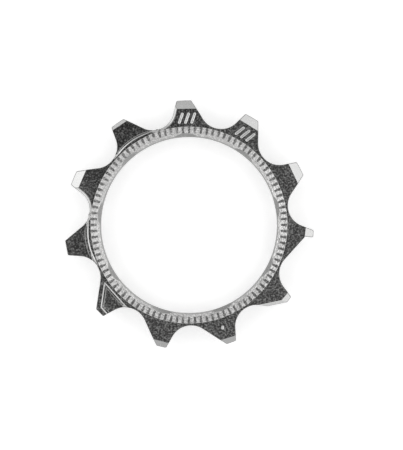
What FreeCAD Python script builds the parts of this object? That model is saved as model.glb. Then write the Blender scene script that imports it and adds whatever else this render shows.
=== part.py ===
import FreeCAD, Part
import math
import os

import Sketcher

# A cassette cog: the smallest sprocket of a rear bicycle cassette, one piece of plated steel.
# It lies on its spacer collar, teeth above, with the serrated lockring seat upwards.
# Millimetres and degrees. Z is the hub's axis, zero at the collar's resting face.
# Teeth are numbered clockwise from the top one, which points along +Y.

SIZES = {
    "tooth_count": 11,
    "chain_pitch": 12.7,
    "roller_seat_radius": 3.95,
    "tip_diameter": 46.3,
    "top_tooth_angle": 91.05,
    "drive_tip_offset": 1.9,
    "broad_tip_width": 2.72,
    "slim_tip_width": 1.82,
    "clipped_tip_width": 1.2,
    "clip_height": 2.3,
    "shouldered_tip_width": 1.35,
    "shoulder_height": 1.55,
    "tip_corner_radius": 0.3,
    "tooth_thickness": 1.8,
    "spacer_height": 2.54,
    "spacer_wall": 0.8,
    "spacer_edge": 0.25,
    "bore_diameter": 32.7,
    "lip_thickness": 2.2,
    "spline_count": 9,
    "spline_depth": 1.1,
    "key_lug_angle": 212,
    "lug_width": 4.0,
    "key_lug_width": 2.8,
    "lug_relief": 0.15,
    "lockring_seat_width": 1.85,
    "lockring_seat_slope": 20,
    "bore_edge": 0.2,
    "bore_edge_slope": 55,
    "slot_count": 100,
    "slot_depth": 0.28,
    "slot_slope": 9,
    "slot_floor": 0.36,
    "slot_flare": 45,
    "slot_end_land": 0.23,
    "scallop_reach": 1.1,
    "scallop_radius": 2.3,
    "scallop_slope": 45,
    "bevel_slope": 25,
    "long_bevel": 1.65,
    "short_bevel": 1.1,
    "rear_bevel": 0.9,
    "recess_land": 0.63,
    "recess_arc_radius": 10.7,
    "recess_wall_slope": 55,
    "recess_sweep": 52,
    "light_recess_depth": 0.44,
    "deep_recess_depth": 0.8,
    "ramp_depth": 0.45,
    "ramp_wall_taper": 40,
    "ramp_land": 0.55,
    "ramp_rim": 0.9,
    "ramp_tip_land": 0.95,
    "gap_edge_break": 0.45,
    "clip_edge_break": 0.65,
    "break_slope": 35,
}
# How far a cut runs on past the solid that it trims.
OVERRUN = 1
# How far a slot's profile stands above the face, less than half the land between two slots.
SLOT_OVERRUN = 0.05

# The teeth in order, by what sets each of them apart.
TEETH = ("top", "plain", "plain", "shouldered", "clipped", "slim", "slim", "ramped",
         "deep recess", "plain", "light recess")
SLIM_TEETH = TEETH[5:8]
SHORT_BEVEL_TEETH = TEETH[4:7]
LONG_BEVEL_TEETH = TEETH[8:] + TEETH[:4]
# The difference below which two lengths are taken as the same.
SAME = 1e-4

# Lengths worked out from the sheet, as expressions.
STEP = "360 deg / sizes.tooth_count"
HALF_STEP = "180 deg / sizes.tooth_count"
PITCH_RADIUS = f"sizes.chain_pitch / (2 * sin({HALF_STEP}))"
TIP = "sizes.tip_diameter / 2"
BORE = "sizes.bore_diameter / 2"
SPLINE = f"{BORE} + sizes.spline_depth"
COLLAR = f"{SPLINE} + sizes.spacer_wall"
SEAT_EDGE = f"{BORE} + sizes.lockring_seat_width"
BACK = "sizes.spacer_height"
FRONT = "sizes.spacer_height + sizes.tooth_thickness"
LIP = f"{FRONT} - sizes.lip_thickness"


def tooth_angle(tooth):
    return f"sizes.top_tooth_angle * 1 deg - {TEETH.index(tooth)} * {STEP}"


def gap_angle(tooth):
    """The gap clockwise of a tooth, where its back flank is."""
    return f"{tooth_angle(tooth)} - {HALF_STEP}"


doc = FreeCAD.newDocument("cassette_cog")
sheet = doc.addObject("Spreadsheet::Sheet", "sizes")
for row, (alias, value) in enumerate(SIZES.items(), start=1):
    sheet.set(f"A{row}", alias)
    sheet.set(f"B{row}", str(value))
    sheet.setAlias(f"B{row}", alias)
doc.recompute()

body = doc.addObject("PartDesign::Body", "cassette_cog")
body.Label = "cassette_cog"
origin = {feature.Role: feature for feature in body.Origin.OriginFeatures}

# Each origin plane's own direction that lies along Z, about which its sketches are turned.
UPRIGHT = {"XY_Plane": (0, 0, 1), "XZ_Plane": (0, 1, 0), "YZ_Plane": (0, 1, 0)}


def bind(item, **expressions):
    for name, expression in expressions.items():
        item.setExpression(name, expression)


def new_sketch(name, plane, turn="0"):
    """A sketch on an origin plane, turned about the hub's axis."""
    sketch = body.newObject("Sketcher::SketchObject", name)
    sketch.AttachmentSupport = [(origin[plane], "")]
    sketch.MapMode = "FlatFace"
    upright = FreeCAD.Vector(*UPRIGHT[plane])
    sketch.AttachmentOffset = FreeCAD.Placement(FreeCAD.Vector(), FreeCAD.Rotation(upright, 1))
    sketch.setExpression("AttachmentOffset.Rotation.Angle", turn)
    return sketch


def place_on_radius(sketch, radius, turn):
    """Move an upright sketch out along the radius that it is turned to."""
    sketch.setExpression("AttachmentOffset.Base.x", f"({radius}) * cos({turn})")
    sketch.setExpression("AttachmentOffset.Base.z", f"-({radius}) * sin({turn})")


def value_of(expression):
    return float(body.evalExpression(expression))


def place_point(sketch, geometry, point, x, y):
    """Hold a point of the sketch at a place given by two expressions."""
    for kind, expression in (("DistanceX", x), ("DistanceY", y)):
        distance = Sketcher.Constraint(kind, -1, 1, geometry, point, value_of(expression))
        number = sketch.addConstraint(distance)
        sketch.setExpression(f"Constraints[{number}]", expression)


def arc_about_axis(start, end):
    """The counterclockwise arc from one point to another whose centre lies on the sketch's X axis."""
    middle = FreeCAD.Vector((end.Length ** 2 - start.Length ** 2) / (2 * (end.x - start.x)), 0)
    circle = Part.Circle(middle, FreeCAD.Vector(0, 0, 1), start.distanceToPoint(middle))
    angles = [math.atan2(point.y, point.x - middle.x) for point in (start, end)]
    return Part.ArcOfCircle(circle, *angles)


def draw_polygon(sketch, corners, arc_home=False):
    """A closed outline through corners that are pairs of expressions; its last side may be an arc."""
    points = [FreeCAD.Vector(value_of(x), value_of(y)) for x, y in corners]
    sides = [Part.LineSegment(a, b) for a, b in zip(points, points[1:] + points[:1])]
    if arc_home:
        sides[-1] = arc_about_axis(points[-1], points[0])
    edges = sketch.addGeometry(sides)
    for this, following in zip(edges, edges[1:] + edges[:1]):
        sketch.addConstraint(Sketcher.Constraint("Coincident", this, 2, following, 1))
    for edge, (x, y) in zip(edges, corners):
        place_point(sketch, edge, 1, x, y)
    if arc_home:
        sketch.addConstraint(Sketcher.Constraint("PointOnObject", edges[-1], 3, -1))


def draw_circle(sketch, radius, x="0"):
    circle = Part.Circle(FreeCAD.Vector(1, 0), FreeCAD.Vector(0, 0, 1), 1)
    edge = sketch.addGeometry(circle)
    place_point(sketch, edge, 3, x, "0")
    number = sketch.addConstraint(Sketcher.Constraint("Radius", edge, 1.0))
    sketch.setExpression(f"Constraints[{number}]", radius)


def finish_feature(feature, cuts=True):
    """Rebuild, and make sure that the feature took steel away, or added some."""
    before = 0 if body.Shape.isNull() else body.Shape.Volume
    body.Tip = feature
    doc.recompute()
    change = body.Shape.Volume - before
    if (change >= 0) if cuts else (change <= 0):
        raise RuntimeError(f"{feature.Name} changed the volume by {change}")
    return feature


def cut_through(name, sketch):
    pocket = body.newObject("PartDesign::Pocket", name)
    pocket.Profile = sketch
    pocket.Type = "ThroughAll"
    pocket.Reversed = True
    return finish_feature(pocket)


def cut_down(name, sketch, depth, taper="0"):
    pocket = body.newObject("PartDesign::Pocket", name)
    pocket.Profile = sketch
    bind(pocket, Length=depth, TaperAngle=taper)
    return finish_feature(pocket)


def cut_break(name, sketch, width):
    """A broken edge of the front face, sloping down from the sketch's outline."""
    sketch.setExpression("AttachmentOffset.Base.z", FRONT)
    return cut_down(name, sketch, f"{width} * tan(sizes.break_slope)", "sizes.break_slope * 1 deg - 90 deg")


def cut_inwards(name, sketch, length, slope):
    """A cut from an upright sketch towards the hub's axis, falling at a slope."""
    pocket = body.newObject("PartDesign::Pocket", name)
    pocket.Profile = sketch
    pocket.UseCustomVector = True
    pocket.Direction = FreeCAD.Vector(-1, 0, 0)
    pocket.setExpression("Direction.x", f"-cos({slope})")
    pocket.setExpression("Direction.z", f"-sin({slope})")
    bind(pocket, Length=length)
    return finish_feature(pocket)


def cut_across(name, sketch, width):
    pocket = body.newObject("PartDesign::Pocket", name)
    pocket.Profile = sketch
    pocket.SideType = "Symmetric"
    bind(pocket, Length=width)
    return finish_feature(pocket)


def cut_round(name, sketch, sweep):
    """A cut turned about the sketch's own upright axis, half the sweep to each side."""
    groove = body.newObject("PartDesign::Groove", name)
    groove.Profile = sketch
    groove.ReferenceAxis = (sketch, ["V_Axis"])
    groove.Midplane = True
    bind(groove, Angle=sweep)
    return finish_feature(groove)


def repeat(name, features, count, step, cuts=True):
    """Copies of features clockwise round the hub's axis."""
    pattern = body.newObject("PartDesign::PolarPattern", name)
    pattern.Originals = features
    pattern.Axis = (origin["Z_Axis"], [""])
    pattern.Mode = "Spacing"
    pattern.Reversed = True
    bind(pattern, Occurrences=count, Offset=step)
    return finish_feature(pattern, cuts)


def add_ring():
    """The turned blank: tooth disc, spacer collar, spline bore and the sloped lockring seat."""
    stock = f"{BORE} - sizes.spline_depth"
    bore_rim = f"{BORE} + sizes.bore_edge"
    rim_height = f"{FRONT} - (sizes.lockring_seat_width - sizes.bore_edge) * tan(sizes.lockring_seat_slope)"
    stock_drop = "(sizes.bore_edge + sizes.spline_depth) * tan(sizes.bore_edge_slope)"
    section = new_sketch("ring_section", "XZ_Plane")
    draw_polygon(section, [
        (SPLINE, "0"),
        (f"{COLLAR} - sizes.spacer_edge", "0"),
        (COLLAR, "sizes.spacer_edge"),
        (COLLAR, BACK),
        (TIP, BACK),
        (TIP, FRONT),
        (SEAT_EDGE, FRONT),
        (bore_rim, rim_height),
        (stock, f"{rim_height} - {stock_drop}"),
        (stock, LIP),
        (SPLINE, LIP),
    ])
    ring = body.newObject("PartDesign::Revolution", "ring")
    ring.Profile = section
    ring.ReferenceAxis = (origin["Z_Axis"], [""])
    ring.Angle = 360
    return finish_feature(ring, cuts=False)


def back_corner(tip_width):
    """How far round from a tooth's middle the back corner of its tip lies."""
    return f"(sizes.drive_tip_offset - {tip_width})"


def flank_lean(height, corner, side):
    """The angle, from its tooth's middle, of a flank that leaves the roller seat at a tangent and ends
    at a height up the tooth and a corner so far round it; side is 1 at the back, -1 at the drive."""
    up = f"({height} - {PITCH_RADIUS} * cos({HALF_STEP}))"
    along = f"({PITCH_RADIUS} * sin({HALF_STEP}) + {side} * {corner})"
    return f"(atan2({along}; {up}) - asin(sizes.roller_seat_radius / hypot({along}; {up})))"


DRIVE_LEAN = flank_lean(TIP, "sizes.drive_tip_offset", -1)
BROAD_LEAN = flank_lean(TIP, back_corner("sizes.broad_tip_width"), 1)
SLIM_LEAN = flank_lean(TIP, back_corner("sizes.slim_tip_width"), 1)


def flank_foot(lean):
    """Where a flank leaves the roller seat, in the frame of its gap."""
    turn = f"({HALF_STEP} + {lean})"
    foot = (f"({PITCH_RADIUS} - sizes.roller_seat_radius * sin({turn}))",
            f"(sizes.roller_seat_radius * cos({turn}))")
    return foot, turn


def flank_end(lean, x):
    """A flank carried on to a distance out from the axis, in the frame of its gap."""
    (foot_x, foot_y), turn = flank_foot(lean)
    return f"({foot_y} + ({x} - {foot_x}) * tan({turn}))"


def cut_tooth_gaps():
    """Roller seats, opening out along a leaning back flank on one side and a steep drive flank opposite."""
    outside = f"({TIP} + {OVERRUN})"
    seat = new_sketch("roller_seat", "XY_Plane", gap_angle("top"))
    draw_circle(seat, "sizes.roller_seat_radius", PITCH_RADIUS)
    seat_cut = cut_through("roller_seat_cut", seat)

    (back_x, back_y), _ = flank_foot(BROAD_LEAN)
    (drive_x, drive_y), _ = flank_foot(DRIVE_LEAN)
    flanks = new_sketch("flanks", "XY_Plane", gap_angle("top"))
    draw_polygon(flanks, [
        (PITCH_RADIUS, "0"),
        (back_x, back_y),
        (outside, flank_end(BROAD_LEAN, outside)),
        (outside, f"-{flank_end(DRIVE_LEAN, outside)}"),
        (drive_x, f"-{drive_y}"),
    ])
    flank_cut = cut_through("flank_cut", flanks)
    return repeat("tooth_gaps", [seat_cut, flank_cut], "sizes.tooth_count", STEP)


def break_seat_edge(name, tooth):
    """The front edge of the roller seat behind a tooth, and of the flank beyond it, broken at a slope."""
    wide = "(sizes.roller_seat_radius + sizes.gap_edge_break)"
    outside = f"({TIP} + {OVERRUN})"
    _, turn = flank_foot(DRIVE_LEAN)
    edge = new_sketch(f"{name}_edge", "XY_Plane", gap_angle(tooth))
    draw_polygon(edge, [
        (f"{PITCH_RADIUS} - {wide} * sin({turn})", f"-{wide} * cos({turn})"),
        (outside, f"-({flank_end(DRIVE_LEAN, outside)} + sizes.gap_edge_break / cos({turn}))"),
        (outside, wide),
        (PITCH_RADIUS, wide),
    ], arc_home=True)
    return cut_break(name, edge, "sizes.gap_edge_break")


def slim_back_flanks():
    """Teeth whose back flank leans further, so that a shifting chain clears them."""
    outside = f"({TIP} + {OVERRUN})"
    foot, _ = flank_foot(SLIM_LEAN)
    relief = new_sketch("slim_relief", "XY_Plane", gap_angle(SLIM_TEETH[0]))
    draw_polygon(relief, [
        (PITCH_RADIUS, "0"),
        foot,
        (outside, flank_end(SLIM_LEAN, outside)),
        (outside, "0"),
    ])
    first = cut_through("slim_relief_cut", relief)
    return repeat("slim_reliefs", [first], str(len(SLIM_TEETH)), STEP)


def clip_tooth_tip():
    """One tooth has the back of its tip clipped off, down to a height below it, with a broken edge."""
    tip_corner = back_corner("sizes.clipped_tip_width")
    flank_y = f"({back_corner('sizes.broad_tip_width')} - sizes.clip_height * tan({BROAD_LEAN}))"
    slope = f"(({tip_corner} - {flank_y}) / sizes.clip_height)"

    def draw_clip(name, inward):
        """The clipped-off corner, with its cut moved into the tooth."""
        shift = f"({inward} * sqrt(1 + {slope} ^ 2))"
        past_flank = f"({OVERRUN} + {shift} / ({slope} - tan({BROAD_LEAN})))"
        low = f"{flank_y} + {shift} - {past_flank} * {slope}"
        clip = new_sketch(name, "XY_Plane", tooth_angle("clipped"))
        draw_polygon(clip, [
            (f"{TIP} + {OVERRUN}", f"{tip_corner} + {shift} + {OVERRUN} * {slope}"),
            (f"{TIP} - sizes.clip_height - {past_flank}", low),
            (f"{TIP} + {OVERRUN}", low),
        ])
        return clip

    cut_through("tip_clip_cut", draw_clip("tip_clip", "0"))
    edge = draw_clip("clip_break", "sizes.clip_edge_break")
    return cut_break("clip_break_cut", edge, "sizes.clip_edge_break")


def shoulder_tooth():
    """One tooth is cut back to a shoulder, which leaves it a narrow tip."""
    corner = back_corner("sizes.shouldered_tip_width")
    height = f"({TIP} - sizes.shoulder_height)"
    outside = f"({TIP} + {OVERRUN})"
    foot, _ = flank_foot(flank_lean(height, corner, 1))

    def in_gap(x, y):
        """A point of the tooth in the frame of the gap beside it."""
        return (f"{x} * cos({HALF_STEP}) - {y} * sin({HALF_STEP})",
                f"{x} * sin({HALF_STEP}) + {y} * cos({HALF_STEP})")

    shoulder = new_sketch("shoulder", "XY_Plane", gap_angle("shouldered"))
    draw_polygon(shoulder, [
        (PITCH_RADIUS, "0"),
        foot,
        in_gap(height, corner),
        in_gap(outside, corner),
        (outside, "0"),
    ])
    return cut_through("shoulder_cut", shoulder)


def add_spline_lugs():
    """Lugs that key the cog to the hub: one narrow one, so that it fits only one way round."""
    face = f"{BORE} + sizes.lug_relief"
    root = f"{SPLINE} + sizes.spacer_wall / 2"
    lug_step = "360 deg / sizes.spline_count"

    def lug(name, width, turn):
        outline = new_sketch(f"{name}_outline", "XY_Plane", turn)
        draw_polygon(outline, [
            (face, f"-{width} / 2"),
            (root, f"-{width} / 2"),
            (root, f"{width} / 2"),
            (face, f"{width} / 2"),
        ])
        pad = body.newObject("PartDesign::Pad", name)
        pad.Profile = outline
        bind(pad, Length=LIP)
        return finish_feature(pad, cuts=False)

    lug("key_lug", "sizes.key_lug_width", "sizes.key_lug_angle")
    first = lug("lug", "sizes.lug_width", f"sizes.key_lug_angle * 1 deg - {lug_step}")
    repeat("lugs", [first], "sizes.spline_count - 1", lug_step, cuts=False)

    bore = new_sketch("bore", "XY_Plane")
    draw_circle(bore, BORE)
    return cut_through("bore_cut", bore)


def edge_names(feature, wanted):
    """Names of the feature's edges that a test picks out."""
    edges = enumerate(feature.Shape.Edges, start=1)
    return [f"Edge{number}" for number, edge in edges if wanted(edge)]


def size(alias):
    return float(sheet.get(alias))


def round_tip_corners(base):
    """Upright edges on the tip circle, rounded off."""
    tip_radius = size("tip_diameter") / 2

    def on_tip(edge):
        ends = [vertex.Point for vertex in edge.Vertexes]
        if len(ends) != 2:
            return False
        upright = math.hypot(ends[0].x - ends[1].x, ends[0].y - ends[1].y) < SAME
        return upright and abs(math.hypot(ends[0].x, ends[0].y) - tip_radius) < SAME

    fillet = body.newObject("PartDesign::Fillet", "tip_corners")
    fillet.Base = (base, edge_names(base, on_tip))
    bind(fillet, Radius="sizes.tip_corner_radius")
    return finish_feature(fillet)


def bevel_tips(name, teeth, length, face, outward):
    """A flat bevel across the tips of a run of teeth, sloping away from the front or the back face."""
    fall = f"{outward} * ({length} + {OVERRUN}) * tan(sizes.bevel_slope)"
    wedge = new_sketch(f"{name}_wedge", "XZ_Plane", tooth_angle(teeth[0]))
    draw_polygon(wedge, [
        (f"{TIP} - {length}", face),
        (f"{TIP} + {OVERRUN}", f"{face} - {fall}"),
        (f"{TIP} + {OVERRUN}", f"{face} + {outward} * {OVERRUN}"),
        (f"{TIP} - {length}", f"{face} + {outward} * {OVERRUN}"),
    ])
    first = cut_across(f"{name}_cut", wedge, "sizes.chain_pitch - sizes.roller_seat_radius")
    return repeat(name, [first], str(len(teeth)), STEP)


def recess_tooth(name, tooth, depth):
    """A whole tooth set back behind a sloped, bowed wall that leaves the ring at full height."""
    centre = f"({SEAT_EDGE} + sizes.recess_land - sizes.recess_arc_radius)"
    turn = tooth_angle(tooth)
    section = new_sketch(f"{name}_section", "XZ_Plane", turn)
    place_on_radius(section, centre, turn)
    lean = "tan(sizes.recess_wall_slope)"
    outside = f"{TIP} - {centre} + {OVERRUN}"
    draw_polygon(section, [
        (f"sizes.recess_arc_radius + {depth} / {lean}", f"{FRONT} - {depth}"),
        (outside, f"{FRONT} - {depth}"),
        (outside, f"{FRONT} + {OVERRUN}"),
        (f"sizes.recess_arc_radius - {OVERRUN} / {lean}", f"{FRONT} + {OVERRUN}"),
    ])
    return cut_round(name, section, "sizes.recess_sweep")


def cut_ramp():
    """A shallow ramp in one tooth's face, open on the drive side, behind a rim along the back flank."""
    def rim_edge(drop):
        """The rim's inner edge, beside the back flank, at a drop below the tip."""
        flank = f"{back_corner('sizes.slim_tip_width')} - {drop} * tan({SLIM_LEAN})"
        return f"{flank} + sizes.ramp_rim / cos({SLIM_LEAN})"

    base = f"({SEAT_EDGE} + sizes.ramp_land)"
    top = f"({TIP} - sizes.ramp_tip_land)"
    open_side = "sizes.chain_pitch / 3"
    ramp = new_sketch("ramp", "XY_Plane", tooth_angle("ramped"))
    ramp.setExpression("AttachmentOffset.Base.z", FRONT)
    draw_polygon(ramp, [
        (base, rim_edge(f"({TIP} - {base})")),
        (top, rim_edge("sizes.ramp_tip_land")),
        (top, open_side),
        (base, open_side),
    ])
    return cut_down("ramp_cut", ramp, "sizes.ramp_depth", "-sizes.ramp_wall_taper")


def cut_scallops():
    """A conical scallop at the front of every lug, where the seat meets the bore."""
    turn = "sizes.key_lug_angle"
    section = new_sketch("scallop_section", "XZ_Plane", turn)
    place_on_radius(section, f"{BORE} + sizes.scallop_reach - sizes.scallop_radius", turn)
    slope = "tan(sizes.scallop_slope)"
    draw_polygon(section, [
        ("0", f"{FRONT} - sizes.scallop_radius * {slope}"),
        (f"sizes.scallop_radius + {OVERRUN} / {slope}", f"{FRONT} + {OVERRUN}"),
        ("0", f"{FRONT} + {OVERRUN}"),
    ])
    first = cut_round("scallop", section, "360 deg")
    return repeat("scallops", [first], "sizes.spline_count", "360 deg / sizes.spline_count")


def cut_serrations():
    """Slots that stop the lockring backing off; their sloped floors run out inwards across its seat."""
    floor = "sizes.slot_floor / 2"
    mouth = f"{floor} + (sizes.slot_depth + {SLOT_OVERRUN}) * tan(sizes.slot_flare / 2)"
    low = f"{FRONT} - sizes.slot_depth"
    high = f"{FRONT} + {SLOT_OVERRUN}"
    profile = new_sketch("slot_profile", "YZ_Plane")
    profile.setExpression("AttachmentOffset.Base.z", f"{SEAT_EDGE} - sizes.slot_end_land")
    draw_polygon(profile, [(floor, low), (mouth, high), (f"-({mouth})", high), (f"-{floor}", low)])
    first = cut_inwards("slot", profile, f"sizes.lockring_seat_width + {OVERRUN}", "sizes.slot_slope")
    return repeat("serrations", [first], "sizes.slot_count", "360 deg / sizes.slot_count")


def write_part():
    for item in doc.Objects:
        if {"Invalid", "Error"} & set(item.State):
            raise RuntimeError(f"{item.Name} failed: {item.State}")
    shape = body.Shape
    if shape.isNull() or not shape.isValid() or len(shape.Solids) != 1:
        raise RuntimeError("the cog is not one valid solid")
    os.makedirs("parts", exist_ok=True)
    shape.exportStep(f"parts/{body.Label}.step")
    print(body.Label, "volume", round(shape.Volume, 2), "box", shape.BoundBox)


add_ring()
cut_tooth_gaps()
add_spline_lugs()
slim_back_flanks()
clip_tooth_tip()
round_tip_corners(shoulder_tooth())
bevel_tips("long_bevels", LONG_BEVEL_TEETH, "sizes.long_bevel", FRONT, 1)
bevel_tips("short_bevels", SHORT_BEVEL_TEETH, "sizes.short_bevel", FRONT, 1)
bevel_tips("rear_bevels", TEETH, "sizes.rear_bevel", BACK, -1)
recess_tooth("light_recess", "light recess", "sizes.light_recess_depth")
recess_tooth("deep_recess", "deep recess", "sizes.deep_recess_depth")
break_seat_edge("light_break", "light recess")
break_seat_edge("deep_break", "deep recess")
cut_ramp()
cut_scallops()
cut_serrations()
write_part()
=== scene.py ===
# %% [markdown]
# Cassette cog: the smallest sprocket of a rear bicycle cassette.
# The real one is a single piece of steel: pressed to shape, turned in the bore, coined round the lockring
# seat and then plated. The CAD solid of it is packed as a fixed frame in metres. This lesson loads that
# frame, gives a copy of the solid its eased edges, round-ended slots, wide scallops and stamped strokes,
# and then finishes each kind of surface the way the workshop left it.

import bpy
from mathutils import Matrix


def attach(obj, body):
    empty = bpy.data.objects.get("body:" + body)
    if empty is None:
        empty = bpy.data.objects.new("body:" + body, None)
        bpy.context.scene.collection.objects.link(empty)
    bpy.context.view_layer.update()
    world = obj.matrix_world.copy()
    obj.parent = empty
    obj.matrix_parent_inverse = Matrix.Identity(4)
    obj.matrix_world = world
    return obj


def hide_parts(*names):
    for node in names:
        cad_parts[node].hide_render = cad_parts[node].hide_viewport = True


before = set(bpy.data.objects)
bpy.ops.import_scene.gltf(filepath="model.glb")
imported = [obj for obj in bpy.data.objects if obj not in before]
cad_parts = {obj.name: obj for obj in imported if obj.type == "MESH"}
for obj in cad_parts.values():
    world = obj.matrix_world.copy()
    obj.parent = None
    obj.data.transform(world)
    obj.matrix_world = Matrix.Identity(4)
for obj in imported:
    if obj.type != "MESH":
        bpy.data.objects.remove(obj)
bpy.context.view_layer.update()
MM = 0.001
cad_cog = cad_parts["cassette_cog"]


print("CAD node:", cad_cog.name, "with", len(cad_cog.data.polygons), "triangles")

# %% [markdown]
# Everything below is in metres, as the frame is, so sizes that a maker would give in millimetres are
# multiplied by MM. A few helpers keep the node trees short: one feeds a socket, either with a value or with
# a link from another node, one adds a node with its sockets fed, and one starts a node group.

# %% Node helpers
import math

import bmesh
import bpy


def feed(tree, socket, value):
    """Give a socket a plain value, or a link if the value is another node's output."""
    if isinstance(value, bpy.types.NodeSocket):
        tree.links.new(value, socket)
    else:
        socket.default_value = value


def add_node(tree, kind, feeds=None, **settings):
    """A new node with its settings and its fed sockets, named or numbered."""
    node = tree.nodes.new(kind)
    for name, value in settings.items():
        setattr(node, name, value)
    for name, value in (feeds or {}).items():
        feed(tree, node.inputs[name], value)
    return node


def new_group(name, kind, inputs, outputs):
    """A node group with named sockets, and its two end nodes."""
    tree = bpy.data.node_groups.new(name, kind)
    for label, socket_kind in inputs:
        tree.interface.new_socket(label, in_out="INPUT", socket_type=socket_kind)
    for label, socket_kind in outputs:
        tree.interface.new_socket(label, in_out="OUTPUT", socket_type=socket_kind)
    return tree, tree.nodes.new("NodeGroupInput").outputs, tree.nodes.new("NodeGroupOutput").inputs


print("helpers ready; one millimetre is", MM, "m")

# %% [markdown]
# The blank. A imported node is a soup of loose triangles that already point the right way. A copy of it is
# merged into one closed skin, and the triangles of each flat area are joined up again, because bevels
# behave best on large clean faces. The CAD node itself stays untouched.

# %% Merge a copy of the solid
MERGE_DISTANCE = 0.0005 * MM
FLAT_WITHIN = math.radians(0.4)

loose_triangles = cad_cog.data.copy()
for attribute in ("custom_normal", "sharp_face", "sharp_edge"):
    if attribute in loose_triangles.attributes:
        loose_triangles.attributes.remove(loose_triangles.attributes[attribute])
skin = bmesh.new()
skin.from_mesh(loose_triangles)
bmesh.ops.remove_doubles(skin, verts=skin.verts, dist=MERGE_DISTANCE)
bmesh.ops.dissolve_limit(skin, angle_limit=FLAT_WITHIN, verts=skin.verts, edges=skin.edges)
open_edges = [edge for edge in skin.edges if not edge.is_manifold]
print("blank:", len(skin.verts), "points,", len(skin.faces), "faces,", len(open_edges), "open edges")

# %% [markdown]
# Where things lie. The parts of the cog can be told apart by height, by distance from the axis and by the
# tilt of a face, which is the upward share of its normal: 1 when it lies level, 0 when it stands upright.
# A Bevel modifier could ease edges by angle alone, but it would also bevel the seat, so a few tests pick
# the edges instead. The face attribute "eased" marks what each bevel makes, for its finish further down.

# %% Tell faces and edges apart
FRONT = 4.34 * MM
SEAT_OUTER = 18.32 * MM
SEAT_BASE = 3.2 * MM
FLAT = 0.985
UPRIGHT = 0.35
WALL_TILT = (0.5, 0.75)
ROUNDED, GROUND = 1, 2
edge_mark = skin.faces.layers.int.new("eased")


def radius_of(point):
    """How far a point lies from the axis."""
    return math.hypot(point.x, point.y)


def on_seat(point):
    """Whether a point lies on the lockring seat."""
    return radius_of(point) < SEAT_OUTER and point.z > SEAT_BASE


def is_wall(face):
    """Whether a face leans as the walls of the recesses and the ramp do."""
    return WALL_TILT[0] < face.normal.z < WALL_TILT[1]


def bevel(edges, width, segments, mark):
    """Bevel some edges, and mark the new faces."""
    made = bmesh.ops.bevel(skin, geom=edges, offset=width, offset_type="OFFSET", segments=segments,
                           profile=0.5, affect="EDGES", clamp_overlap=False)
    for face in made["faces"]:
        face[edge_mark] = mark


print("walls of recesses and ramp:", sum(is_wall(face) for face in skin.faces), "faces")

# %% [markdown]
# Rims and tips. Where a recess or the ramp is sunk into a tooth, the top edge of its wall is ground to a
# narrow bright facet. Where a tip bevel meets the tooth's outline, the edge is rounder than elsewhere. Both
# kinds are known by the faces that meet there, and are bevelled first, while those faces are still whole.

# %% Grind the rims and round the tips
LEVEL = 0.005 * MM
RIM_WIDTH = 0.13 * MM
RIM_SEGMENTS = 1
STRAIGHT_RIM = 0.9 * MM
TIP_EASE = 0.15 * MM
TIP_TILT = (0.88, 0.93)
ROUND_SEGMENTS = 2


def is_rim(edge):
    """The top edge of a wall, out on a tooth; a curved one stops short of the tooth's flanks."""
    walls = [face for face in edge.link_faces if is_wall(face)]
    on_front = min(vert.co.z for vert in edge.verts) > FRONT - LEVEL
    if len(walls) != 1 or not on_front or any(radius_of(vert.co) < SEAT_OUTER for vert in edge.verts):
        return False
    around = [face for vert in edge.verts for face in vert.link_faces]
    clear = all(is_wall(face) or face.normal.z > FLAT for face in around)
    return edge.calc_length() > STRAIGHT_RIM or clear


def is_tip_edge(edge):
    """An edge between a tip bevel and the upright face beside it."""
    tilts = sorted(abs(face.normal.z) for face in edge.link_faces)
    return len(tilts) == 2 and tilts[0] < UPRIGHT and TIP_TILT[0] < tilts[1] < TIP_TILT[1]


rims = [edge for edge in skin.edges if is_rim(edge)]
bevel(rims, RIM_WIDTH, RIM_SEGMENTS, GROUND)
tip_edges = [edge for edge in skin.edges if is_tip_edge(edge) and not on_seat(edge.verts[0].co)]
bevel(tip_edges, TIP_EASE, ROUND_SEGMENTS, ROUNDED)
print("ground", len(rims), "rim edges and rounded", len(tip_edges), "tip edges")

# %% [markdown]
# The other edges. Tumbling and plating leave no edge of the teeth knife-sharp: each has a radius of about a
# tenth of a millimetre, and that narrow round is what draws a tooth's outline. Edges in the bore are eased
# less. Short edges, and those that run into another at a small angle, are left alone, because a bevel
# would overshoot there. The seat is left alone too, because its slots are cut further down.

# %% Ease the other sharp edges
EASE = 0.09 * MM
BORE_EASE = 0.04 * MM
BORE_ZONE = 17.6 * MM
SHARP = math.radians(28)
SHORTEST_EASED = 0.12 * MM
ACUTE = math.radians(35)


def can_ease(edge):
    """A sharp edge of some length, clear of the seat and of what is rounded already."""
    if len(edge.link_faces) != 2 or edge.calc_length() < SHORTEST_EASED:
        return False
    if any(face[edge_mark] == ROUNDED for face in edge.link_faces):
        return False
    return edge.calc_face_angle() > SHARP and not any(on_seat(vert.co) for vert in edge.verts)


def meets_acutely(edge, others):
    """Whether the edge runs into another at so small an angle that a bevel would overshoot."""
    for vert in edge.verts:
        along = edge.other_vert(vert).co - vert.co
        for other in vert.link_edges:
            if other is edge or other not in others:
                continue
            if along.angle(other.other_vert(vert).co - vert.co) < ACUTE:
                return True
    return False


sharp_edges = [edge for edge in skin.edges if can_ease(edge)]
sharp_set = set(sharp_edges)
eased = [edge for edge in sharp_edges if not meets_acutely(edge, sharp_set)]
in_bore = [edge for edge in eased if min(radius_of(vert.co) for vert in edge.verts) < BORE_ZONE]
outside = [edge for edge in eased if edge not in in_bore]
bevel(in_bore, BORE_EASE, ROUND_SEGMENTS, ROUNDED)
bevel(outside, EASE, ROUND_SEGMENTS, ROUNDED)
print("eased", len(in_bore), "edges in the bore and", len(outside), "outside it")

# %% [markdown]
# The eased blank becomes an object. Its faces are split into triangles again first: a boolean may misread
# a ring-shaped face that has many corners.

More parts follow.
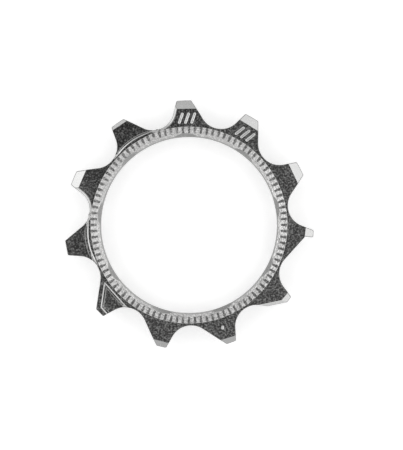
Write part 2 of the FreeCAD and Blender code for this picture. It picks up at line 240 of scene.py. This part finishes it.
# %% Make the cog from the blank
bmesh.ops.triangulate(skin, faces=skin.faces[:])
blank_mesh = bpy.data.meshes.new("cog_blank")
skin.to_mesh(blank_mesh)
skin.free()
cog = bpy.data.objects.new("cog", blank_mesh)
bpy.context.scene.collection.objects.link(cog)
print("the eased blank has", len(blank_mesh.polygons), "faces")

# %% [markdown]
# Cutters. Slots, scallops and strokes are all cut in the same way: some discs are wrapped in a convex hull
# to make one cutter, copies of it are placed, and a boolean takes them out of the cog. Geometry Nodes
# suit this, since the cuts repeat and their sizes become named inputs. These helpers build the shared steps.

# %% Helpers for the cutting trees
ROUND_END_POINTS = 20


def half(tree, value):
    """A node that halves a value."""
    return add_node(tree, "ShaderNodeMath", {0: value, 1: 2.0}, operation="DIVIDE").outputs[0]


def less(tree, value, taken):
    """A node that takes one value from another."""
    return add_node(tree, "ShaderNodeMath", {0: value, 1: taken}, operation="SUBTRACT").outputs[0]


def disc(tree, radius, x, z, points=ROUND_END_POINTS, widening=1.0):
    """A filled circle, or an ellipse that is widened along Y, at a distance along X and a height."""
    circle = add_node(tree, "GeometryNodeMeshCircle", {"Vertices": points, "Radius": radius},
                      fill_type="NGON")
    spot = add_node(tree, "ShaderNodeCombineXYZ", {"X": x, "Z": z})
    stretch = add_node(tree, "ShaderNodeCombineXYZ", {"X": 1.0, "Y": widening, "Z": 1.0})
    moved = add_node(tree, "GeometryNodeTransform", {
        "Geometry": circle.outputs["Mesh"], "Translation": spot.outputs[0], "Scale": stretch.outputs[0]})
    return moved.outputs["Geometry"]


def wrapped(tree, pieces):
    """The convex hull round some pieces."""
    together = tree.nodes.new("GeometryNodeJoinGeometry")
    for piece in pieces:
        tree.links.new(piece, together.inputs[0])
    return add_node(tree, "GeometryNodeConvexHull", {0: together.outputs[0]}).outputs[0]


def round_the_axis(tree, cutter, count, first_angle):
    """Copies of a cutter at even steps round the axis."""
    places = add_node(tree, "GeometryNodePoints", {"Count": count})
    step = add_node(tree, "ShaderNodeMath", {0: 2 * math.pi, 1: count}, operation="DIVIDE")
    number = tree.nodes.new("GeometryNodeInputIndex").outputs[0]
    angle = add_node(tree, "ShaderNodeMath", {0: number, 1: step.outputs[0], 2: first_angle},
                     operation="MULTIPLY_ADD")
    turn = add_node(tree, "ShaderNodeCombineXYZ", {"Z": angle.outputs[0]})
    copies = add_node(tree, "GeometryNodeInstanceOnPoints", {
        "Points": places.outputs[0], "Instance": cutter, "Rotation": turn.outputs[0]})
    return copies.outputs[0]


def cutting_tree(name, sizes):
    """A tree that takes the cog, named sizes and a material, and gives the cog back."""
    shape = [("Geometry", "NodeSocketGeometry")]
    return new_group(name, "GeometryNodeTree", shape + sizes + [("Material", "NodeSocketMaterial")], shape)


def cut_and_finish(tree, start, cutters, end):
    """Take the realized cutters out of the cog, and close the tree with its material."""
    realized = add_node(tree, "GeometryNodeRealizeInstances", {0: cutters})
    cut = add_node(tree, "GeometryNodeMeshBoolean", {0: start["Geometry"], 1: realized.outputs[0]},
                   operation="DIFFERENCE", solver="EXACT")
    whole = add_node(tree, "GeometryNodeRealizeInstances", {0: cut.outputs["Mesh"]})
    painted = add_node(tree, "GeometryNodeSetMaterial", {
        "Geometry": whole.outputs[0], "Material": start["Material"]})
    tree.links.new(painted.outputs[0], end["Geometry"])
    print("tree:", tree.name, "with", len(tree.nodes), "nodes")


# %% [markdown]
# The coined slots. A hundred short slots run round the lockring seat, and the matching ribs under the
# lockring click into them so that it can't back off. Each is a trough with a falling floor, leaning walls
# and a rounded outer end. The solid has plain slots in the same places, and these go over them. Four discs
# make the cutter: two for the floor and two for the mouth.

# %% Tree: slots round the seat
SLOT_SIZES = [
    ("Slots", "NodeSocketInt"),
    ("First Angle", "NodeSocketFloat"),
    ("Floor Width", "NodeSocketFloat"),
    ("Mouth Width", "NodeSocketFloat"),
    ("Floor Height", "NodeSocketFloat"),
    ("Floor Fall", "NodeSocketFloat"),
    ("Mouth Height", "NodeSocketFloat"),
    ("Floor End", "NodeSocketFloat"),
    ("Mouth End", "NodeSocketFloat"),
    ("Inner End", "NodeSocketFloat"),
]
slot_tree, start, end = cutting_tree("Slots round the seat", SLOT_SIZES)
floor_half = half(slot_tree, start["Floor Width"])
mouth_half = half(slot_tree, start["Mouth Width"])
inner_floor = less(slot_tree, start["Floor Height"], start["Floor Fall"])
slot_cutter = wrapped(slot_tree, [
    disc(slot_tree, floor_half, less(slot_tree, start["Floor End"], floor_half), start["Floor Height"]),
    disc(slot_tree, mouth_half, less(slot_tree, start["Mouth End"], mouth_half), start["Mouth Height"]),
    disc(slot_tree, floor_half, start["Inner End"], inner_floor),
    disc(slot_tree, mouth_half, start["Inner End"], start["Mouth Height"]),
])
slots = round_the_axis(slot_tree, slot_cutter, start["Slots"], start["First Angle"])
cut_and_finish(slot_tree, start, slots, end)

# %% [markdown]
# The scallops. Inside the bore, nine lugs grip the hub, and above each of them the seat's inner edge is
# hollowed by a shallow scallop. The solid has the middle of each; here they get their full width. The
# cutter is a cone with an oval section, the hull round a small disc and a large one.

# %% Tree: scallops above the lugs
SCALLOP_SIZES = [
    ("Scallops", "NodeSocketInt"),
    ("First Angle", "NodeSocketFloat"),
    ("Out From Axis", "NodeSocketFloat"),
    ("Low Radius", "NodeSocketFloat"),
    ("Low Height", "NodeSocketFloat"),
    ("Top Radius", "NodeSocketFloat"),
    ("Top Height", "NodeSocketFloat"),
    ("Widening", "NodeSocketFloat"),
]
SCALLOP_POINTS = 64

scallop_tree, start, end = cutting_tree("Scallops above the lugs", SCALLOP_SIZES)
scallop_cutter = wrapped(scallop_tree, [
    disc(scallop_tree, start[f"{level} Radius"], start["Out From Axis"], start[f"{level} Height"],
         SCALLOP_POINTS, start["Widening"])
    for level in ("Low", "Top")
])
scallops = round_the_axis(scallop_tree, scallop_cutter, start["Scallops"], start["First Angle"])
cut_and_finish(scallop_tree, start, scallops, end)

# %% [markdown]
# The stamped strokes. On two teeth, the press has stamped short leaning strokes into the face between the
# seat and the tip bevel. Each stroke is the print of a narrow-nosed punch: a groove with leaning walls and
# rounded ends. Four discs make the punch, and copies of it stand in a row, each leaning by the same angle,
# with the row turned to its tooth. One short stroke also gives a ding.

# %% Tree: stamped strokes
STROKE_SIZES = [
    ("Strokes", "NodeSocketInt"),
    ("Spacing", "NodeSocketFloat"),
    ("Length", "NodeSocketFloat"),
    ("Width", "NodeSocketFloat"),
    ("Depth", "NodeSocketFloat"),
    ("Face Height", "NodeSocketFloat"),
    ("Out From Axis", "NodeSocketFloat"),
    ("Turn", "NodeSocketFloat"),
    ("Lean", "NodeSocketFloat"),
]
NOSE_SHARE = 0.06


def product(tree, a, b):
    """A node that multiplies two values."""
    return add_node(tree, "ShaderNodeMath", {0: a, 1: b}, operation="MULTIPLY").outputs[0]


stroke_tree, start, end = cutting_tree("Stamped strokes", STROKE_SIZES)
nose = product(stroke_tree, start["Width"], NOSE_SHARE)
head = less(stroke_tree, start["Width"], nose)
reach = half(stroke_tree, less(stroke_tree, start["Length"], start["Width"]))
back_reach = product(stroke_tree, reach, -1.0)
nose_depth = product(stroke_tree, start["Depth"], -1.0)
punch = wrapped(stroke_tree, [
    disc(stroke_tree, nose, reach, nose_depth),
    disc(stroke_tree, head, reach, start["Depth"]),
    disc(stroke_tree, nose, back_reach, nose_depth),
    disc(stroke_tree, head, back_reach, start["Depth"]),
])
last_stroke = less(stroke_tree, start["Strokes"], 1.0)
row_width = product(stroke_tree, last_stroke, start["Spacing"])
row_start = add_node(stroke_tree, "ShaderNodeCombineXYZ", {
    "X": start["Out From Axis"], "Y": product(stroke_tree, row_width, -0.5), "Z": start["Face Height"]})
row_step = add_node(stroke_tree, "ShaderNodeCombineXYZ", {"Y": start["Spacing"]})
row = add_node(stroke_tree, "GeometryNodeMeshLine", {
    "Count": start["Strokes"], "Offset": row_step.outputs[0], "Start Location": row_start.outputs[0]})
lean = add_node(stroke_tree, "ShaderNodeCombineXYZ", {"Z": start["Lean"]})
strokes = add_node(stroke_tree, "GeometryNodeInstanceOnPoints", {
    "Points": row.outputs[0], "Instance": punch, "Rotation": lean.outputs[0]})
row_turn = add_node(stroke_tree, "ShaderNodeCombineXYZ", {"Z": start["Turn"]})
whole_row = add_node(stroke_tree, "GeometryNodeRealizeInstances", {0: strokes.outputs[0]})
turned = add_node(stroke_tree, "GeometryNodeTransform", {
    "Geometry": whole_row.outputs[0], "Rotation": row_turn.outputs[0]})
cut_and_finish(stroke_tree, start, turned.outputs[0], end)

# %% [markdown]
# The trees run as modifiers, one after the other. A modifier's inputs are set by the identifier of each
# socket, before the object is first evaluated. The finishes are only named here, since the trees ask for a
# material; they are built further down.

# %% Set up the slots, scallops, strokes and ding
TOP_TOOTH = 91.05
TOOTH_STEP = 360 / 11
KEY_LUG = math.radians(212)
DING_X = 6.24
DING_Y = -18.95
FINISHES = ("blasted_face_painted_shade", "ground_facet", "coined_seat", "coined_slot_painted_shade", "sheared_flank", "turned_collar",
            "tumbled_edge_painted_shade", "stamped_groove")
finish = {name: bpy.data.materials.new(name) for name in FINISHES}


def tooth_turn(number):
    """The angle of a tooth, counted clockwise from the top one."""
    return math.radians(TOP_TOOTH - number * TOOTH_STEP)


def run_tree(piece, tree, sizes):
    """Add a tree to the piece as a modifier, with its named sizes."""
    modifier = piece.modifiers.new(tree.name, "NODES")
    modifier.node_group = tree
    for item in tree.interface.items_tree:
        if item.in_out == "INPUT" and item.name in sizes:
            modifier[item.identifier] = sizes[item.name]


run_tree(cog, slot_tree, {
    "Slots": 100, "First Angle": 0.0, "Floor Width": 0.36 * MM, "Mouth Width": 0.66 * MM,
    "Floor Height": FRONT - 0.28 * MM, "Floor Fall": 0.16 * MM, "Mouth Height": FRONT + 0.01 * MM,
    "Floor End": 18.12 * MM, "Mouth End": 18.22 * MM, "Inner End": 16.6 * MM,
    "Material": finish["coined_seat"]})
run_tree(cog, scallop_tree, {
    "Scallops": 9, "First Angle": KEY_LUG, "Out From Axis": 14.84 * MM, "Widening": 1.61,
    "Low Radius": 0.422 * MM, "Low Height": FRONT - 2.20 * MM,
    "Top Radius": 2.682 * MM, "Top Height": FRONT + 0.06 * MM,
    "Material": finish["coined_slot_painted_shade"]})
STROKE = {"Strokes": 3, "Spacing": 1.15 * MM, "Length": 2.2 * MM, "Width": 0.50 * MM, "Depth": 0.085 * MM,
          "Face Height": FRONT, "Out From Axis": 19.75 * MM, "Lean": math.radians(-20),
          "Material": finish["stamped_groove"]}
DING = {"Strokes": 1, "Length": 0.75 * MM, "Width": 0.46 * MM, "Out From Axis": 19.95 * MM,
        "Turn": math.atan2(DING_Y, DING_X)}
run_tree(cog, stroke_tree, STROKE | {"Turn": tooth_turn(0)})
run_tree(cog, stroke_tree, STROKE | {"Turn": tooth_turn(1)})
run_tree(cog, stroke_tree, STROKE | DING)
print("cuts to make:", [modifier.name for modifier in cog.modifiers])

# %% [markdown]
# The result is copied out as a plain mesh and the modifiers are taken off, so that what is exported is just
# faces.

# %% Cut them
evaluated = cog.evaluated_get(bpy.context.evaluated_depsgraph_get())
cut_mesh = bpy.data.meshes.new_from_object(evaluated)
cog.modifiers.clear()
cog.data = cut_mesh
print("cut cog:", len(cut_mesh.vertices), "points,", len(cut_mesh.polygons), "faces,",
      sum(len(face.vertices) - 2 for face in cut_mesh.polygons), "triangles")

# %% [markdown]
# Which surface is which. One piece of steel carries eight finishes: the blasted faces of the teeth and the
# walls of their recesses, the ground bevels and rims, the coined seat, its slots, the sheared flanks, the
# turned collar, the tumbled edges, which take in the bore's edge and the scallops, and the stamped grooves.
# The colours of the blasted faces, the slots and the tumbled edges carry painted shade.
# Rims and rounds are told by their mark, everything else by where a face lies and how it tilts.

# %% Rules for the finishes
SEAT_EDGE = 18.17 * MM
TOOTH_BACK = 2.4 * MM
GROOVE_MARGIN = 0.01 * MM
GROOVE_DEPTH = STROKE["Depth"] + GROOVE_MARGIN
GROOVE_OUTER = 21.2 * MM
BORE_EDGE_OUTER = 16.5 * MM
BORE_EDGE_TILT = 0.87
CONE_TILT = (0.92, 0.96)
edge_marks = cut_mesh.attributes["eased"].data


def in_groove(corners):
    """Whether the corners lie in a stamped groove: near the front face, and clear of its outer edges."""
    shallow = min(corner.z for corner in corners) > FRONT - GROOVE_DEPTH
    return shallow and max(radius_of(corner) for corner in corners) < GROOVE_OUTER


def finish_on_seat(inner, tilt):
    """The bore's edge or a scallop, the seat's own cone, or a slot."""
    if inner < BORE_EDGE_OUTER and tilt < BORE_EDGE_TILT:
        return "tumbled_edge_painted_shade"
    return "coined_seat" if CONE_TILT[0] < tilt < CONE_TILT[1] else "coined_slot_painted_shade"


def finish_of(face):
    """The finish of a face, from its mark, how far in and out it reaches, its height and its tilt."""
    corners = [cut_mesh.vertices[corner].co for corner in face.vertices]
    inner = min(radius_of(corner) for corner in corners)
    outer = max(radius_of(corner) for corner in corners)
    if edge_marks[face.index].value == ROUNDED:
        return "tumbled_edge_painted_shade"
    if edge_marks[face.index].value == GROUND:
        return "ground_facet"
    if inner < SEAT_EDGE and face.center.z > SEAT_BASE and face.normal.z > UPRIGHT:
        return finish_on_seat(inner, face.normal.z)
    if min(corner.z for corner in corners) < TOOTH_BACK or (inner < SEAT_EDGE and face.normal.z > -FLAT):
        return "turned_collar"
    if abs(face.normal.z) > FLAT:
        return "blasted_face_painted_shade"
    if abs(face.normal.z) < UPRIGHT:
        return "sheared_flank"
    if outer < SEAT_OUTER and face.center.z > SEAT_BASE:
        return "coined_slot_painted_shade"
    if is_wall(face):
        return "blasted_face_painted_shade"
    return "stamped_groove" if in_groove(corners) else "ground_facet"


print("finishes to give:", len(FINISHES))

# %% [markdown]
# Each face takes its finish. Then the faces are split into triangles, because the many-cornered ones that
# the cuts leave could be split so that they overlap when they are exported. Edges sharper than a small angle
# stay crisp in the shading, and the rest are smooth.

# %% Give each face its finish
CRISP = math.radians(11)

cut_mesh.materials.clear()
for name in FINISHES:
    cut_mesh.materials.append(finish[name])
counts = dict.fromkeys(FINISHES, 0)
for face in cut_mesh.polygons:
    kind = finish_of(face)
    counts[kind] += 1
    face.material_index = FINISHES.index(kind)
    face.use_smooth = True
cut_skin = bmesh.new()
cut_skin.from_mesh(cut_mesh)
bmesh.ops.triangulate(cut_skin, faces=cut_skin.faces[:])
cut_skin.to_mesh(cut_mesh)
cut_skin.free()
cut_mesh.set_sharp_from_angle(angle=CRISP)
print("faces by finish:", counts)

# %% [markdown]
# Grain. Blasting and tumbling leave a skin of tiny pits and peaks, a fifth to a third of a millimetre
# across. A noise and some rounded cells make it; their height goes to a Bump node, and the peaks are given
# as a mask, because they are polished brighter than the pits. All finishes use it, at different strengths,
# so it is a node group.

# %% Group: grain
PEAKS_FROM = 0.42
PEAKS_TO = 0.64


def one_over(tree, size):
    """The scale of a texture whose features have the given size."""
    return add_node(tree, "ShaderNodeMath", {0: 1.0, 1: size}, operation="DIVIDE").outputs[0]


grain, start, end = new_group(
    "Grain", "ShaderNodeTree",
    [("Vector", "NodeSocketVector"), ("Grain Size", "NodeSocketFloat"), ("Fine Share", "NodeSocketFloat")],
    [("Height", "NodeSocketFloat"), ("Peaks", "NodeSocketFloat")])
grain_scale = one_over(grain, start["Grain Size"])
coarse = add_node(grain, "ShaderNodeTexNoise", {
    "Vector": start["Vector"], "Scale": grain_scale, "Detail": 2.0})
pits = add_node(grain, "ShaderNodeTexVoronoi", {"Vector": start["Vector"], "Scale": grain_scale},
                feature="SMOOTH_F1")
mixed = add_node(grain, "ShaderNodeMix", {
    "Factor": start["Fine Share"], "A": coarse.outputs["Fac"], "B": pits.outputs["Distance"]})
feed(grain, end["Height"], mixed.outputs["Result"])
peaks = add_node(grain, "ShaderNodeMapRange", {
    "Value": mixed.outputs["Result"], "From Min": PEAKS_FROM, "From Max": PEAKS_TO})
feed(grain, end["Peaks"], peaks.outputs["Result"])
print("group:", grain.name)

# %% [markdown]
# Handling marks. A cog that has been in a box and in fingers has faint clouds in its shine and a few
# hairline scratches. Both change the roughness and not the colour. The group gives a cloud mask and a
# scratch mask; the scratches are a noise that is turned and drawn out, of which only the tops are kept.

# %% Group: handling marks
SCRATCH_SLANT = (0.0, 0.0, 0.7)
SCRATCH_STRETCH = (14.0, 0.8, 1.0)
SCRATCH_FROM = 0.63
SCRATCH_TO = 0.68

marks, start, end = new_group(
    "Handling marks", "ShaderNodeTree",
    [("Vector", "NodeSocketVector"), ("Cloud Size", "NodeSocketFloat"),
     ("Scratch Length", "NodeSocketFloat")],
    [("Clouds", "NodeSocketFloat"), ("Scratches", "NodeSocketFloat")])
clouds = add_node(marks, "ShaderNodeTexNoise", {
    "Vector": start["Vector"], "Scale": one_over(marks, start["Cloud Size"]), "Detail": 3.0})
feed(marks, end["Clouds"], clouds.outputs["Fac"])
slanted = add_node(marks, "ShaderNodeMapping", {
    "Vector": start["Vector"], "Rotation": SCRATCH_SLANT, "Scale": SCRATCH_STRETCH})
hairs = add_node(marks, "ShaderNodeTexNoise", {
    "Vector": slanted.outputs[0], "Scale": one_over(marks, start["Scratch Length"]), "Detail": 2.0})
thin = add_node(marks, "ShaderNodeMapRange", {
    "Value": hairs.outputs["Fac"], "From Min": SCRATCH_FROM, "From Max": SCRATCH_TO})
feed(marks, end["Scratches"], thin.outputs["Result"])
print("group:", marks.name)

# %% [markdown]
# Tool lay. Grinding, shearing and turning leave fine parallel lines, each in its own direction: along one
# way on a bevel, straight down a sheared flank, round and round on a turned collar. The lines are noise
# stretched along one direction of whatever vector comes in, so the same group serves all of them.

# %% Group: tool lay
lay, start, end = new_group(
    "Tool lay", "ShaderNodeTree",
    [("Vector", "NodeSocketVector"), ("Line Width", "NodeSocketFloat"), ("Stretch", "NodeSocketVector")],
    [("Height", "NodeSocketFloat")])
drawn = add_node(lay, "ShaderNodeVectorMath", {0: start["Vector"], 1: start["Stretch"]},
                 operation="MULTIPLY")
lines = add_node(lay, "ShaderNodeTexNoise", {
    "Vector": drawn.outputs[0], "Scale": one_over(lay, start["Line Width"]), "Detail": 2.0})
feed(lay, end["Height"], lines.outputs["Fac"])
print("group:", lay.name)

# %% [markdown]
# The steel itself. All eight finishes are the same plated steel, so one function builds what they share: a
# Principled shader that is fully metallic, the three groups, and two bumps. What differs is passed in: the
# colour in the pits and on the peaks, the roughness, and how deep the grain and the lay are. Some of these
# colours are painted shade, as noted where the finishes are made.

# %% Build a steel finish
FINE_SHARE = 0.3
CLOUD_SIZE = 9 * MM
SCRATCH_LENGTH = 3 * MM
CLOUDS_FROM = 0.3
CLOUDS_TO = 0.7
# The colour sockets of a Mix node share their names with its other sockets, so they go by number.
COLOUR_A = 6
COLOUR_B = 7
COLOUR_RESULT = 2


def steel(name, pit, peak, rough, rough_spread, grain_size, grain_depth, lay_width, lay_stretch, lay_depth):
    """Plated steel with its grain, tool lay and handling marks."""
    material = finish[name]
    material.use_nodes = True
    tree = material.node_tree
    shader = tree.nodes["Principled BSDF"]
    shader.inputs["Metallic"].default_value = 1.0
    where = tree.nodes.new("ShaderNodeTexCoord").outputs["Object"]
    skin_grain = add_node(tree, "ShaderNodeGroup", {
        "Vector": where, "Grain Size": grain_size, "Fine Share": FINE_SHARE}, node_tree=grain)
    worn = add_node(tree, "ShaderNodeGroup", {
        "Vector": where, "Cloud Size": CLOUD_SIZE, "Scratch Length": SCRATCH_LENGTH}, node_tree=marks)
    tool = add_node(tree, "ShaderNodeGroup", {
        "Vector": where, "Line Width": lay_width, "Stretch": lay_stretch}, node_tree=lay)
    colour = add_node(tree, "ShaderNodeMix", {
        "Factor": skin_grain.outputs["Peaks"], COLOUR_A: (*pit, 1.0), COLOUR_B: (*peak, 1.0)},
        data_type="RGBA")
    feed(tree, shader.inputs["Base Color"], colour.outputs[COLOUR_RESULT])
    cloudy = add_node(tree, "ShaderNodeMapRange", {
        "Value": worn.outputs["Clouds"], "From Min": CLOUDS_FROM, "From Max": CLOUDS_TO,
        "To Min": rough - rough_spread, "To Max": rough + rough_spread})
    scratched = add_node(tree, "ShaderNodeMath", {
        0: worn.outputs["Scratches"], 1: rough_spread, 2: cloudy.outputs["Result"]},
        operation="MULTIPLY_ADD")
    feed(tree, shader.inputs["Roughness"], scratched.outputs[0])
    ridges = add_node(tree, "ShaderNodeBump", {
        "Height": tool.outputs["Height"], "Distance": lay_depth, "Strength": 1.0})
    pitted = add_node(tree, "ShaderNodeBump", {
        "Height": skin_grain.outputs["Height"], "Distance": grain_depth, "Strength": 1.0,
        "Normal": ridges.outputs["Normal"]})
    feed(tree, shader.inputs["Normal"], pitted.outputs["Normal"])
    print("finish:", name, "roughness about", rough)


# %% [markdown]
# The finishes of the teeth. The blasted faces have the darkest pits and the strongest contrast, and their
# dark tone is partly painted shade: it stands for the dark room that level faces reflect, while the grain in
# it is the steel's own. The ground facets are bright and nearly smooth, and the flanks have the drawn lines
# of the shear. Tumbled edges are dull: their dim colour is painted shade on the rounded edges, the bore's
# edge and the scallops. The stamped grooves are bright with a deep grain.

# %% Finishes of the teeth
EVEN = (1.0, 1.0, 1.0)
ALONG_Y = (1.0, 0.1, 1.0)
DOWN = (1.0, 1.0, 0.08)

# Partly painted shade: the dark tone of the blasted faces stands for the dark room they reflect; the grain
# in it is the steel's own.
steel("blasted_face_painted_shade", pit=(0.12, 0.12, 0.118), peak=(0.68, 0.68, 0.673), rough=0.17, rough_spread=0.03,
      grain_size=0.31 * MM, grain_depth=0.032 * MM,
      lay_width=0.2 * MM, lay_stretch=EVEN, lay_depth=0.004 * MM)
steel("ground_facet", pit=(0.72, 0.72, 0.715), peak=(0.78, 0.78, 0.775), rough=0.26, rough_spread=0.05,
      grain_size=0.2 * MM, grain_depth=0.004 * MM,
      lay_width=0.08 * MM, lay_stretch=ALONG_Y, lay_depth=0.003 * MM)
steel("sheared_flank", pit=(0.50, 0.50, 0.495), peak=(0.60, 0.60, 0.595), rough=0.32, rough_spread=0.06,
      grain_size=0.2 * MM, grain_depth=0.006 * MM,
      lay_width=0.09 * MM, lay_stretch=DOWN, lay_depth=0.006 * MM)
# Painted shade: the dim colour of the tumbled edges greys the rounded edges, the bore's edge and the
# scallops.
steel("tumbled_edge_painted_shade", pit=(0.34, 0.34, 0.337), peak=(0.48, 0.48, 0.476), rough=0.36, rough_spread=0.06,
      grain_size=0.2 * MM, grain_depth=0.01 * MM,
      lay_width=0.1 * MM, lay_stretch=EVEN, lay_depth=0.003 * MM)
steel("stamped_groove", pit=(0.68, 0.68, 0.675), peak=(0.80, 0.80, 0.795), rough=0.30, rough_spread=0.05,
      grain_size=0.24 * MM, grain_depth=0.08 * MM,
      lay_width=0.1 * MM, lay_stretch=EVEN, lay_depth=0.003 * MM)

# %% [markdown]
# The finishes of the ring. The coined seat is the brightest, with a deep grain, its slots have the same
# grain with darker pits, which are painted shade in these hollows, and the collar has the rings of the
# lathe.

# %% Finishes of the ring
SLIGHTLY_DOWN = (1.0, 1.0, 0.2)
ROUND_ABOUT = (0.06, 0.06, 1.0)

steel("coined_seat", pit=(0.64, 0.637, 0.633), peak=(0.90, 0.895, 0.89), rough=0.22, rough_spread=0.05,
      grain_size=0.34 * MM, grain_depth=0.085 * MM,
      lay_width=0.1 * MM, lay_stretch=SLIGHTLY_DOWN, lay_depth=0.003 * MM)
# Painted shade: the darker pits of the slots shade these hollows.
steel("coined_slot_painted_shade", pit=(0.32, 0.32, 0.317), peak=(0.78, 0.775, 0.77), rough=0.20, rough_spread=0.04,
      grain_size=0.34 * MM, grain_depth=0.07 * MM,
      lay_width=0.1 * MM, lay_stretch=SLIGHTLY_DOWN, lay_depth=0.003 * MM)
steel("turned_collar", pit=(0.52, 0.52, 0.515), peak=(0.62, 0.62, 0.615), rough=0.30, rough_spread=0.05,
      grain_size=0.2 * MM, grain_depth=0.005 * MM,
      lay_width=0.07 * MM, lay_stretch=ROUND_ABOUT, lay_depth=0.006 * MM)

# %% [markdown]
# The floor is a plain white sheet. To the camera, and in reflections, it glows a little as well as being
# lit, so it comes out white while a faint soft shadow under the cog stays.

# %% Floor
FLOOR_HALF = 1.5
SHEET_ROUGHNESS = 0.9
SHEET_SHINE = 0.1
SHEET_TONES = (0.84, 0.88)
SHEET_GLOW = 0.50
FIBRES_PER_METRE = 900.0


def white_sheet():
    """White paper that glows a little where it is seen, directly or in a reflection."""
    sheet = bpy.data.materials.new("white_sheet")
    sheet.use_nodes = True
    tree = sheet.node_tree
    shader = tree.nodes["Principled BSDF"]
    shader.inputs["Roughness"].default_value = SHEET_ROUGHNESS
    shader.inputs["Specular IOR Level"].default_value = SHEET_SHINE
    where = tree.nodes.new("ShaderNodeTexCoord").outputs["Object"]
    fibre = add_node(tree, "ShaderNodeTexNoise", {
        "Vector": where, "Scale": FIBRES_PER_METRE, "Detail": 2.0})
    tone = add_node(tree, "ShaderNodeMapRange", {
        "Value": fibre.outputs["Fac"], "To Min": SHEET_TONES[0], "To Max": SHEET_TONES[1]})
    feed(tree, shader.inputs["Base Color"], tone.outputs["Result"])
    path = tree.nodes.new("ShaderNodeLightPath").outputs
    seen = path["Is Camera Ray"]
    for ray in ("Is Glossy Ray", "Is Transmission Ray"):
        seen = add_node(tree, "ShaderNodeMath", {0: seen, 1: path[ray]}, operation="MAXIMUM").outputs[0]
    shader.inputs["Emission Color"].default_value = (1.0, 1.0, 1.0, 1.0)
    feed(tree, shader.inputs["Emission Strength"], product(tree, seen, SHEET_GLOW))
    return sheet


floor_mesh = bpy.data.meshes.new("floor")
floor_corners = [(x * FLOOR_HALF, y * FLOOR_HALF, 0) for x, y in ((-1, -1), (1, -1), (1, 1), (-1, 1))]
floor_mesh.from_pydata(floor_corners, [], [(0, 1, 2, 3)])
floor_mesh.materials.append(white_sheet())
floor = bpy.data.objects.new("floor", floor_mesh)
bpy.context.scene.collection.objects.link(floor)
print("floor:", 2 * FLOOR_HALF, "m square")

# %% [markdown]
# Panels. Two soft panels stand left and right of the cog, and facets that lean their way come out nearly
# white. A panel's power follows from its size and from how bright it should look.

# %% Two soft panels


def panel(name, spot, width, height, radiance):
    """A soft panel that faces the cog, as bright all over as its radiance says."""
    light = bpy.data.lights.new(name, "AREA")
    light.shape = "RECTANGLE"
    light.size = width
    light.size_y = height
    light.energy = radiance * math.pi * width * height
    lamp = bpy.data.objects.new(name, light)
    lamp.location = spot
    lamp.rotation_euler = (-lamp.location).to_track_quat("-Z", "Y").to_euler()
    bpy.context.scene.collection.objects.link(lamp)
    print(name, "gives", round(light.energy, 2), "W")


panel("left_panel", spot=(-0.36, 0.0, 0.27), width=0.8, height=0.24, radiance=0.66)
panel("right_panel", spot=(0.36, 0.04, 0.27), width=1.2, height=0.24, radiance=0.57)

# %% [markdown]
# The room. Steel shows what it reflects. Overhead, where the camera hangs, the room has a dark patch, so the
# level faces, which reflect it, are dark. Round the patch lie a dim ring, a darker one and a bright one, and
# the sloped seat, which reflects the bright ring, is light. The patch leans to the upper left, so faces at
# the lower right catch more of the ring. At the horizon the room is white.

# %% World
# How bright the room is, by the angle in degrees from the middle of the dark patch.
ROOM = [
    (0, 0.01), (3, 0.03), (6, 0.14), (9, 0.38), (14, 0.38), (20, 0.14),
    (25, 0.40), (29, 0.86), (40, 0.90), (47, 0.55), (75, 0.46), (81, 1.0),
]
PATCH_LEAN = (-0.087, 0.078, 0.993)
WIDEST_ANGLE = 90
FIRST_STOPS = 2

world = bpy.data.worlds.new("studio")
bpy.context.scene.world = world
world.use_nodes = True
sky = world.node_tree
direction = sky.nodes.new("ShaderNodeTexCoord").outputs["Generated"]
along = add_node(sky, "ShaderNodeVectorMath", {0: direction, 1: PATCH_LEAN}, operation="DOT_PRODUCT")
from_patch = add_node(sky, "ShaderNodeMath", {0: along.outputs["Value"]}, operation="ARCCOSINE")
turn_share = add_node(sky, "ShaderNodeMath", {0: from_patch.outputs[0], 1: math.radians(WIDEST_ANGLE)},
                      operation="DIVIDE")
ramp = add_node(sky, "ShaderNodeValToRGB", {"Fac": turn_share.outputs[0]})
stops = ramp.color_ramp.elements
for number, (angle, brightness) in enumerate(ROOM):
    stop = stops[number] if number < FIRST_STOPS else stops.new(1.0)
    stop.position = angle / WIDEST_ANGLE
    stop.color = (brightness, brightness, brightness, 1.0)
feed(sky, sky.nodes["Background"].inputs["Color"], ramp.outputs["Color"])
print("room:", len(stops), "steps of brightness from the dark patch outwards")

# %% [markdown]
# The camera looks straight down from a quarter of a metre. The picture's height spans so many millimetres
# at the front face of the cog, which gives the lens; the cog lies a little left of the middle.

# %% Camera
VIEW_DISTANCE = 0.25
PICTURE_HEIGHT = 83.16 * MM
SENSOR = 36.0
CAMERA_X = 2.31 * MM
CAMERA_Y = 0.01 * MM
NEAREST_SEEN = 0.01

camera_data = bpy.data.cameras.new("camera")
camera_data.sensor_fit = "VERTICAL"
camera_data.sensor_height = SENSOR
camera_data.lens = SENSOR * VIEW_DISTANCE / PICTURE_HEIGHT
camera_data.clip_start = NEAREST_SEEN
camera = bpy.data.objects.new("camera", camera_data)
camera.location = (CAMERA_X, CAMERA_Y, FRONT + VIEW_DISTANCE)
bpy.context.scene.collection.objects.link(camera)
bpy.context.scene.camera = camera
bpy.context.scene.view_settings.view_transform = "Standard"
print("lens:", round(camera_data.lens, 1), "mm")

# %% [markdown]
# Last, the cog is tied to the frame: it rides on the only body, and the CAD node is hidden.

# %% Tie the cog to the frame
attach(cog, "root")
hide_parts("cassette_cog")
